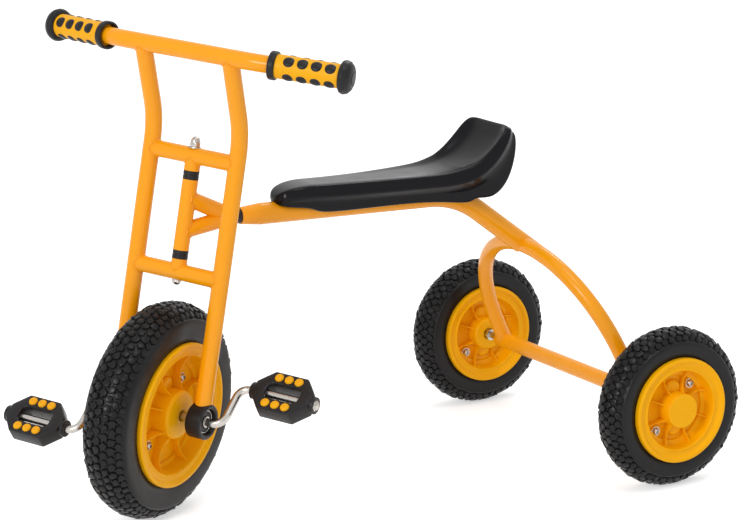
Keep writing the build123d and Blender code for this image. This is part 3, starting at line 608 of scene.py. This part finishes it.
def makeGrip(side, sign):
    slope = radians(gripSizes["sweep"])
    direction = Vector((-sin(slope), sign * cos(slope), 0))
    x, y, z = gripSizes["barBend"]
    start = Vector((x, sign * y, z)) + direction * ((gripSizes["start"] - y) / cos(slope))
    length = (gripSizes["end"] - gripSizes["start"]) / cos(slope)
    place = forkPlace @ pointing(start, direction)
    sleeve = bmesh.new()
    bore, radius = gripSizes["bar"], gripSizes["sleeve"]
    flangeEnd = gripSizes["flange"][2][1]
    low, high = flangeEnd - gripSizes["tuck"], length + gripSizes["tuck"]
    spinOutline(sleeve, [(bore, low), (radius, low), (radius, high), (bore, high)], steps=64)
    addPiece(sleeve, f"grip_sleeve_moulded_{side}", "fork", "yellowGripVinyl", place,
             [f"grip_sleeve_{side}"])
    flange = bmesh.new()
    spinOutline(flange, gripSizes["flange"], steps=64, rounding=3.2)
    addPiece(flange, f"grip_flange_moulded_{side}", "fork", "blackGripRubber", place,
             [f"grip_flange_{side}"])
    cap = bmesh.new()
    capOutline = [(r, length + along) for r, along in gripSizes["cap"]]
    spinOutline(cap, capOutline, steps=64, rounding=1.4, closed=False)
    addPiece(cap, f"grip_cap_moulded_{side}", "fork", "blackGripRubber", place,
             [f"grip_cap_{side}"])
    dots = bmesh.new()
    first = (length + flangeEnd - (gripSizes["columns"] - 1) * gripSizes["pitch"]) / 2
    along, across, out = gripSizes["dot"]
    for row in range(gripSizes["rows"]):
        around = Matrix.Rotation(tau * row / gripSizes["rows"] + radians(gripSizes["dotTurn"][side]), 4, "Y")
        for column in range(gripSizes["columns"]):
            dot = bmesh.new()
            bmesh.ops.create_uvsphere(dot, u_segments=28, v_segments=14, radius=1)
            bmesh.ops.scale(dot, vec=(across, along, out), verts=dot.verts)
            bmesh.ops.translate(dot, vec=(0, first + column * gripSizes["pitch"], gripSizes["dotMiddle"]),
                                verts=dot.verts)
            joinInto(dots, dot, around)
    addPiece(dots, f"grip_dots_moulded_{side}", "fork", "blackGripRubber", place,
             [f"grip_dots_{side}"])


for side, sign in sides:
    makeGrip(side, sign)
print("grips made")

# pedals: eight-cornered block with a window and round collars, domed studs, and a cap nut on the rod's end
pedalSizes = {
    "length": 94.5,
    "flat": 54.0,
    "width": 67.0,
    "endWidth": 22.0,
    "thickness": 25.0,
    "edge": 2.6,
    "edgeAngle": 25,         # edges that turn more than this are rounded
    "window": (54.0, 26.0),
    "windowCorner": 5.0,
    "tilt": 135.0,
    # outlines of radius and place along, the collar's from the block's end and the rest from their foot
    "collar": ((6.1, 5), (12.5, 5), (12.5, -7), (11.5, -7)),
    "stud": ((0, 2.6), (1.7, 2.7), (2.3, 3.5), (4.4, 3.2), (6.2, 1.9), (6.9, 0.3), (6.9, -1), (0, -1)),
    "studRing": ((7.4, 0.6), (8.9, 0.6), (9.5, -0.5), (7.4, -0.5)),
    "studPitch": 16.3,
    "studRow": 23.0,
    "nut": {"gap": 0.3, "radius": 8.5, "height": 5.0,
            "dome": ((0, 9.2), (2.4, 8.9), (4.6, 7.8), (6.2, 6.2), (7, 4.4), (0, 4.4))},
}
nutEdge = 0.6            # how much the edges of every cap nut are rounded


# a six-sided nut with rounded edges, and a dome on it
def addCapNut(bm, size, place):
    nut = bmesh.new()
    bmesh.ops.create_circle(nut, cap_ends=True, segments=6, radius=size["radius"])
    top = bmesh.ops.extrude_face_region(nut, geom=nut.faces[:])
    bmesh.ops.translate(nut, vec=(0, 0, size["height"]), verts=newVerts(top))
    bmesh.ops.bevel(nut, geom=nut.edges[:], offset=nutEdge, segments=2, profile=0.5, affect="EDGES",
                    material=-1)
    joinInto(bm, nut, place @ Matrix.Rotation(radians(-90), 4, "X"))
    spinOutline(bm, size["dome"], steps=32, closed=False, place=place)


def makePedal(side, sign):
    spin = Vector(joints[f"pedal_{side}_spin"]["pos_m"])
    tilt = radians(pedalSizes["tilt"])
    tread = forkAhead * sin(tilt) - forkUp * cos(tilt)
    place = placeAt(spin, tread.cross(forkLeft), forkLeft, tread)
    length, flat = pedalSizes["length"] / 2, pedalSizes["flat"] / 2
    wide, end = pedalSizes["width"] / 2, pedalSizes["endWidth"] / 2
    bm = bmesh.new()
    outer = [(end, length), (wide, flat), (wide, -flat), (end, -length)]
    outer += [(-x, y) for x, y in reversed(outer)]
    windowLong, windowWide = pedalSizes["window"][0] / 2, pedalSizes["window"][1] / 2
    cut = pedalSizes["windowCorner"]
    inner = [(windowWide - cut, windowLong), (windowWide, windowLong - cut), (windowWide, cut - windowLong),
             (windowWide - cut, -windowLong)]
    inner += [(-x, y) for x, y in reversed(inner)]
    half = pedalSizes["thickness"] / 2
    loops = []
    for points in (outer, inner):
        verts = [bm.verts.new((x, y, -half)) for x, y in points]
        loops += [bm.edges.new((a, b)) for a, b in zip(verts, verts[1:] + verts[:1])]
    faces = bmesh.ops.bridge_loops(bm, edges=loops)["faces"]
    top = bmesh.ops.extrude_face_region(bm, geom=faces)
    bmesh.ops.translate(bm, vec=(0, 0, 2 * half), verts=newVerts(top))
    bmesh.ops.recalc_face_normals(bm, faces=bm.faces)
    turned = radians(pedalSizes["edgeAngle"])
    sharp = [edge for edge in bm.edges if len(edge.link_faces) == 2 and edge.calc_face_angle() > turned]
    bmesh.ops.bevel(bm, geom=sharp, offset=pedalSizes["edge"], segments=3, profile=0.5, affect="EDGES",
                    material=-1)
    for way in (1, -1):
        spinOutline(bm, pedalSizes["collar"], steps=40, rounding=0.8,
                    place=Matrix.Diagonal((1, way, 1, 1)) @ Matrix.Translation((0, length, 0)))
    studs = bmesh.new()
    for face in (1, -1):
        for row in (1, -1):
            for column in (-1, 0, 1):
                foot = (row * pedalSizes["studRow"], column * pedalSizes["studPitch"], face * half)
                stand = Matrix.Translation(foot) @ Matrix.Diagonal((1, 1, face, 1)) @ upright
                spinOutline(studs, pedalSizes["stud"], steps=28, closed=False, place=stand)
                spinOutline(bm, pedalSizes["studRing"], steps=28, rounding=0.2, place=stand)
    addPiece(bm, f"pedal_moulded_{side}", f"pedal_{side}", "blackNylon", place,
             [f"pedal_{side}"], sharpAngle=30)
    addPiece(studs, f"pedal_studs_moulded_{side}", f"pedal_{side}", "yellowGripVinyl",
             place, [f"pedal_studs_{side}"], sharpAngle=50)
    nut = bmesh.new()
    seat = sign * (length + pedalSizes["nut"]["gap"])
    addCapNut(nut, pedalSizes["nut"], Matrix.Translation((0, seat, 0)) @ Matrix.Diagonal((1, sign, 1, 1)))
    addPiece(nut, f"crank_cap_nut_{side}", "front_wheel", "zincPlatedSteel", place,
             [f"crank_nut_{side}"], sharpAngle=30)


for side, sign in sides:
    makePedal(side, sign)
print("pedals made")

# steering head: the pivot bolt with its round head, its washer and its cap nut
headSizes = {
    "lowerCross": 204.0,
    "upperCross": 373.0,
    "cross": 12.0,
    "bolt": ((0, -0.5), (6, -0.5), (6, 194), (0, 194)),
    "roundHead": ((0, -6.8), (3.4, -6.2), (5.8, -4.3), (6.9, -1.6), (6.9, 0), (0, 0)),
    "washer": ((0, 0), (9.5, 0), (9.5, 1.6), (0, 1.6)),
    "nut": {"radius": 8.4, "height": 7.5,
            "dome": ((0, 15.6), (2.6, 15.1), (5, 13.4), (6.6, 10.9), (7.1, 7), (0, 7))},
    # how far the round head stands off the lower tube, and washer and nut off the upper one
    "headAt": -0.4,
    "washerAt": -0.8,
    "nutAt": 0.5,
}
bm = bmesh.new()
low = headSizes["lowerCross"] - headSizes["cross"]
high = headSizes["upperCross"] + headSizes["cross"]
spinOutline(bm, headSizes["bolt"], steps=24, closed=False, place=Matrix.Translation((0, 0, low)) @ upright)
spinOutline(bm, headSizes["roundHead"], steps=32, closed=False,
            place=Matrix.Translation((0, 0, low + headSizes["headAt"])) @ upright)
spinOutline(bm, headSizes["washer"], steps=40, rounding=0.4, closed=False,
            place=Matrix.Translation((0, 0, high + headSizes["washerAt"])) @ upright)
addCapNut(bm, headSizes["nut"], Matrix.Translation((0, 0, high + headSizes["nutAt"])) @ upright)
addPiece(bm, "pivot_bolt_dressed", "fork", "zincPlatedSteel", forkPlace, ["pivot_bolt"],
         sharpAngle=30)
print("steering head made")

# axle housings at the foot of each fork leg, and the bearing in each
housingSizes = {
    "middle": 72.7,
    # outlines of radius and place along the axle, outwards from the housing's middle
    "housing": ((6.2, -13), (24, -13), (26, -11), (26, 11.5), (24.5, 13), (20.5, 13), (19, 11.5), (18, 6),
                (15.2, 6), (14.6, 7.4), (9.2, 7.4), (8.6, 6), (6.2, 6)),
    # the races of the bearing, either side of its dark seal, which is part of the housing
    "innerRace": ((6.15, 5), (6.15, 9.2), (8.4, 9.2), (8.4, 5)),
    "outerRace": ((15.4, 5), (15.4, 7.6), (17, 7.6), (17, 5)),
}
for side, sign in sides:
    stand = Matrix.Translation((0, sign * housingSizes["middle"], 0)) @ Matrix.Diagonal((1, sign, 1, 1))
    for name, outlines, finish, slot, node in (
        ("axle_housing_moulded", ("housing",), "blackNylon", "black_plastic", "axle_housing"),
        ("axle_bearing_ringed", ("innerRace", "outerRace"), "zincPlatedSteel", "bright_steel",
         "axle_bearing"),
    ):
        bm = bmesh.new()
        for outline in outlines:
            spinOutline(bm, housingSizes[outline], steps=64, rounding=0.5, place=stand)
        addPiece(bm, f"{name}_{side}", "fork", finish, forkPlace, [f"{node}_{side}"], sharpAngle=30)
print("axle housings made")

# weld beads where the tubes meet, under the powder coat
weldSizes = {
    "bead": 1.5,
    "ripple": 0.13,
    "ripplePitch": 4.5,
    "wobble": 0.08,
    # the tubes' radii and places, the fork's in its own axes
    "legSpacing": 72.7,
    "leg": 12.5,
    "stub": 11.5,
    "barMiddle": (58.0, 524.0),
    "legBend": 415.0,
    "hoop": 12.0,
    "hoopSpacing": 184.0,
    "hoopLean": 23.3,
    "axleTube": 12.5,
    "neckReach": 137.7,
    "neckDrop": 11.9,
    "neckHeights": (264.0, 311.0),
    "neck": 12.0,
    "collar": 12.0,
}


# a rippled bead round a branch tube, on the surface of the tube that carries it
def addWeld(bm, centre, branch, branchRadius, carrier, carrierRadius):
    y = branch.normalized()
    x = (carrier - y * carrier.dot(y)).normalized()
    z = x.cross(y)
    lengthwise, leaning = carrier.normalized().dot(x), carrier.normalized().dot(y)
    bead = bmesh.new()
    bmesh.ops.create_circle(bead, segments=10, radius=weldSizes["bead"])
    bmesh.ops.translate(bead, vec=(branchRadius, 0, 0), verts=bead.verts)
    bmesh.ops.spin(bead, geom=bead.verts[:] + bead.edges[:], cent=(0, 0, 0), axis=(0, 1, 0), steps=96,
                   angle=tau, use_merge=True)
    ripples = round(tau * branchRadius / weldSizes["ripplePitch"])
    for vert in bead.verts:
        turn = atan2(vert.co.z, vert.co.x)
        core = Vector((branchRadius * cos(turn), 0, branchRadius * sin(turn)))
        swell = 1 + weldSizes["ripple"] * sin(ripples * turn) + weldSizes["wobble"] * sin(3 * turn + 1)
        vert.co = core + (vert.co - core) * swell
        surface = sqrt(max(0, carrierRadius ** 2 - core.z ** 2))
        vert.co.y += (surface + core.x * leaning) / lengthwise
    turned = Matrix((x, y, z)).transposed().to_4x4()
    joinInto(bm, bead, Matrix.Translation(centre) @ turned)


# the fork: cross tubes on the legs, legs on the bar, stubs on the cross tubes
bm = bmesh.new()
upward, sideways = Vector((0, 0, 1)), Vector((0, 1, 0))
spacing, leg, cross = weldSizes["legSpacing"], weldSizes["leg"], headSizes["cross"]
barX, barZ = weldSizes["barMiddle"]
legTop = Vector((barX, 0, barZ - weldSizes["legBend"]))
for side, sign in sides:
    for height in (headSizes["lowerCross"], headSizes["upperCross"]):
        addWeld(bm, Vector((0, sign * spacing, height)), Vector((0, -sign, 0)), cross, upward, leg)
    addWeld(bm, Vector((barX, sign * spacing, barZ)), -legTop, leg, sideways, leg)
for height, way in ((headSizes["lowerCross"], 1), (headSizes["upperCross"], -1)):
    addWeld(bm, Vector((0, 0, height)), Vector((0, 0, way)), weldSizes["stub"], sideways, cross)
addPiece(bm, "fork_welds", "fork", "orangePowderCoat", forkPlace, sharpAngle=60)

# the frame: hoop on the axle tube, neck tubes on the head tube
bm = bmesh.new()
axle = Vector((rearX, 0, rearAxle["left"].z / mm))
lean = radians(weldSizes["hoopLean"])
for side, sign in sides:
    addWeld(bm, axle + Vector((0, sign * weldSizes["hoopSpacing"], 0)), Vector((sin(lean), 0, cos(lean))),
            weldSizes["hoop"], sideways, weldSizes["axleTube"])
steeringFoot = frontAxle / mm
headMiddle = steeringFoot + forkUp * (sum(weldSizes["neckHeights"]) / 2)
collarFront = Vector((steeringFoot.x - weldSizes["neckReach"] + weldSizes["collar"], 0,
                      headMiddle.z - weldSizes["neckDrop"]))
for height in weldSizes["neckHeights"]:
    point = steeringFoot + forkUp * height
    addWeld(bm, point, collarFront - point, weldSizes["neck"], forkUp, weldSizes["stub"])
addPiece(bm, "frame_welds", "frame", "orangePowderCoat", framePlace, sharpAngle=60)
print("welds made")

# the CAD nodes that stay get their finish
dressed = {
    "orangePowderCoat": ("main_tube", "neck_upper_tube", "neck_lower_tube", "head_tube", "rear_hoop",
                         "rear_axle_tube", "handlebar", "fork_leg_left", "fork_leg_right", "lower_cross_tube",
                         "upper_cross_tube", "lower_stub", "upper_stub"),
    "blackNylon": ("neck_collar", "lower_bush", "upper_bush"),
    "zincPlatedSteel": ("crankshaft", "rear_axle_rod_left", "rear_axle_rod_right"),
    "yellowPolypropylene": ("rear_hub_cap_left", "rear_hub_cap_right"),
}
for finish, names in dressed.items():
    for name in names:
        for slot in frame["nodes"][name].material_slots:
            slot.material = finishes[finish]
print("CAD nodes dressed")

# camera, at the photograph's angle
shot = {
    "place": (1.82716, 3.23618, 1.20258),
    "aim": (-0.02876, 0, 0.3371),
    "lens": 123.615,
    "sensor": 36.0,
    "roll": -0.0109,         # radians
}
camera = bpy.data.cameras.new("camera")
camera.lens = shot["lens"]
camera.sensor_width = shot["sensor"]
camera.sensor_fit = "HORIZONTAL"
cameraObject = bpy.data.objects.new("camera", camera)
bpy.context.scene.collection.objects.link(cameraObject)
aim = Vector(shot["place"]) - Vector(shot["aim"])
look = aim.to_track_quat("Z", "Y").to_matrix().to_4x4() @ Matrix.Rotation(shot["roll"], 4, "Z")
cameraObject.matrix_world = Matrix.Translation(shot["place"]) @ look
bpy.context.scene.camera = cameraObject
bpy.context.scene.view_settings.view_transform = "Standard"

# studio: white all round for the camera and reflections, and three soft lamps
studio = {
    "worldLight": 0.7,
    "worldSeen": 1.0,        # 1 is white
    "floorGlow": 0.5,
    "floorSize": 14.0,
    "floorColour": "#F4F4F4",
    "floorRoughness": 0.9,
    "floorSpecular": 0.1,
    # name, place, size and power of each lamp
    "lamps": (
        ("soft_box_key", (0.3, 1.3, 4.2), 1.4, 26),
        ("soft_box_front", (3.7, 1.9, 1.9), 0.8, 54),
        ("soft_box_back", (-2.4, -1.6, 3.4), 1.2, 30),
    ),
}


# 1 for rays that the eye follows: straight, mirrored or through
def addSeen(tree):
    rays = addNode(tree, "ShaderNodeLightPath")
    mirrored = addNode(tree, "ShaderNodeMath", {"operation": "MAXIMUM"},
                       {0: rays.outputs["Is Camera Ray"], 1: rays.outputs["Is Glossy Ray"]})
    return addNode(tree, "ShaderNodeMath", {"operation": "MAXIMUM"},
                   {0: mirrored.outputs[0], 1: rays.outputs["Is Transmission Ray"]}).outputs[0]


world = bpy.data.worlds.new("studio")
bpy.context.scene.world = world
world.use_nodes = True
tree = world.node_tree
background = tree.nodes["Background"]
level = addNode(tree, "ShaderNodeMapRange",
                {"To Min": studio["worldLight"], "To Max": studio["worldSeen"]}, {"Value": addSeen(tree)})
background.inputs["Color"].default_value = (1, 1, 1, 1)
tree.links.new(level.outputs["Result"], background.inputs["Strength"])

for name, place, size, power in studio["lamps"]:
    lamp = bpy.data.lights.new(name, "AREA")
    lamp.shape = "SQUARE"
    lamp.size = size
    lamp.energy = power
    lampObject = bpy.data.objects.new(name, lamp)
    bpy.context.scene.collection.objects.link(lampObject)
    toward = Vector(place) - Vector(shot["aim"])
    lampObject.matrix_world = Matrix.Translation(place) @ toward.to_track_quat("Z", "Y").to_matrix().to_4x4()

floorMesh = bmesh.new()
bmesh.ops.create_grid(floorMesh, x_segments=1, y_segments=1, size=studio["floorSize"])
floorData = bpy.data.meshes.new("floor")
floorMesh.to_mesh(floorData)
floorMesh.free()
floor = bpy.data.objects.new("floor", floorData)
bpy.context.scene.collection.objects.link(floor)
floorFinish = bpy.data.materials.new("paleFloor")
floorFinish.use_nodes = True
tree = floorFinish.node_tree
floorShader = tree.nodes["Principled BSDF"]
floorShader.inputs["Base Color"].default_value = linear(studio["floorColour"])
floorShader.inputs["Roughness"].default_value = studio["floorRoughness"]
floorShader.inputs["Specular IOR Level"].default_value = studio["floorSpecular"]
glow = addNode(tree, "ShaderNodeEmission", {"Color": (1, 1, 1, 1), "Strength": studio["floorGlow"]})
glowSeen = addNode(tree, "ShaderNodeMixShader", {}, {0: addSeen(tree), 2: glow.outputs[0]})
lit = addNode(tree, "ShaderNodeAddShader", {}, {0: floorShader.outputs[0], 1: glowSeen.outputs[0]})
tree.links.new(lit.outputs[0], tree.nodes["Material Output"].inputs["Surface"])
floorData.materials.append(floorFinish)
print("studio made")
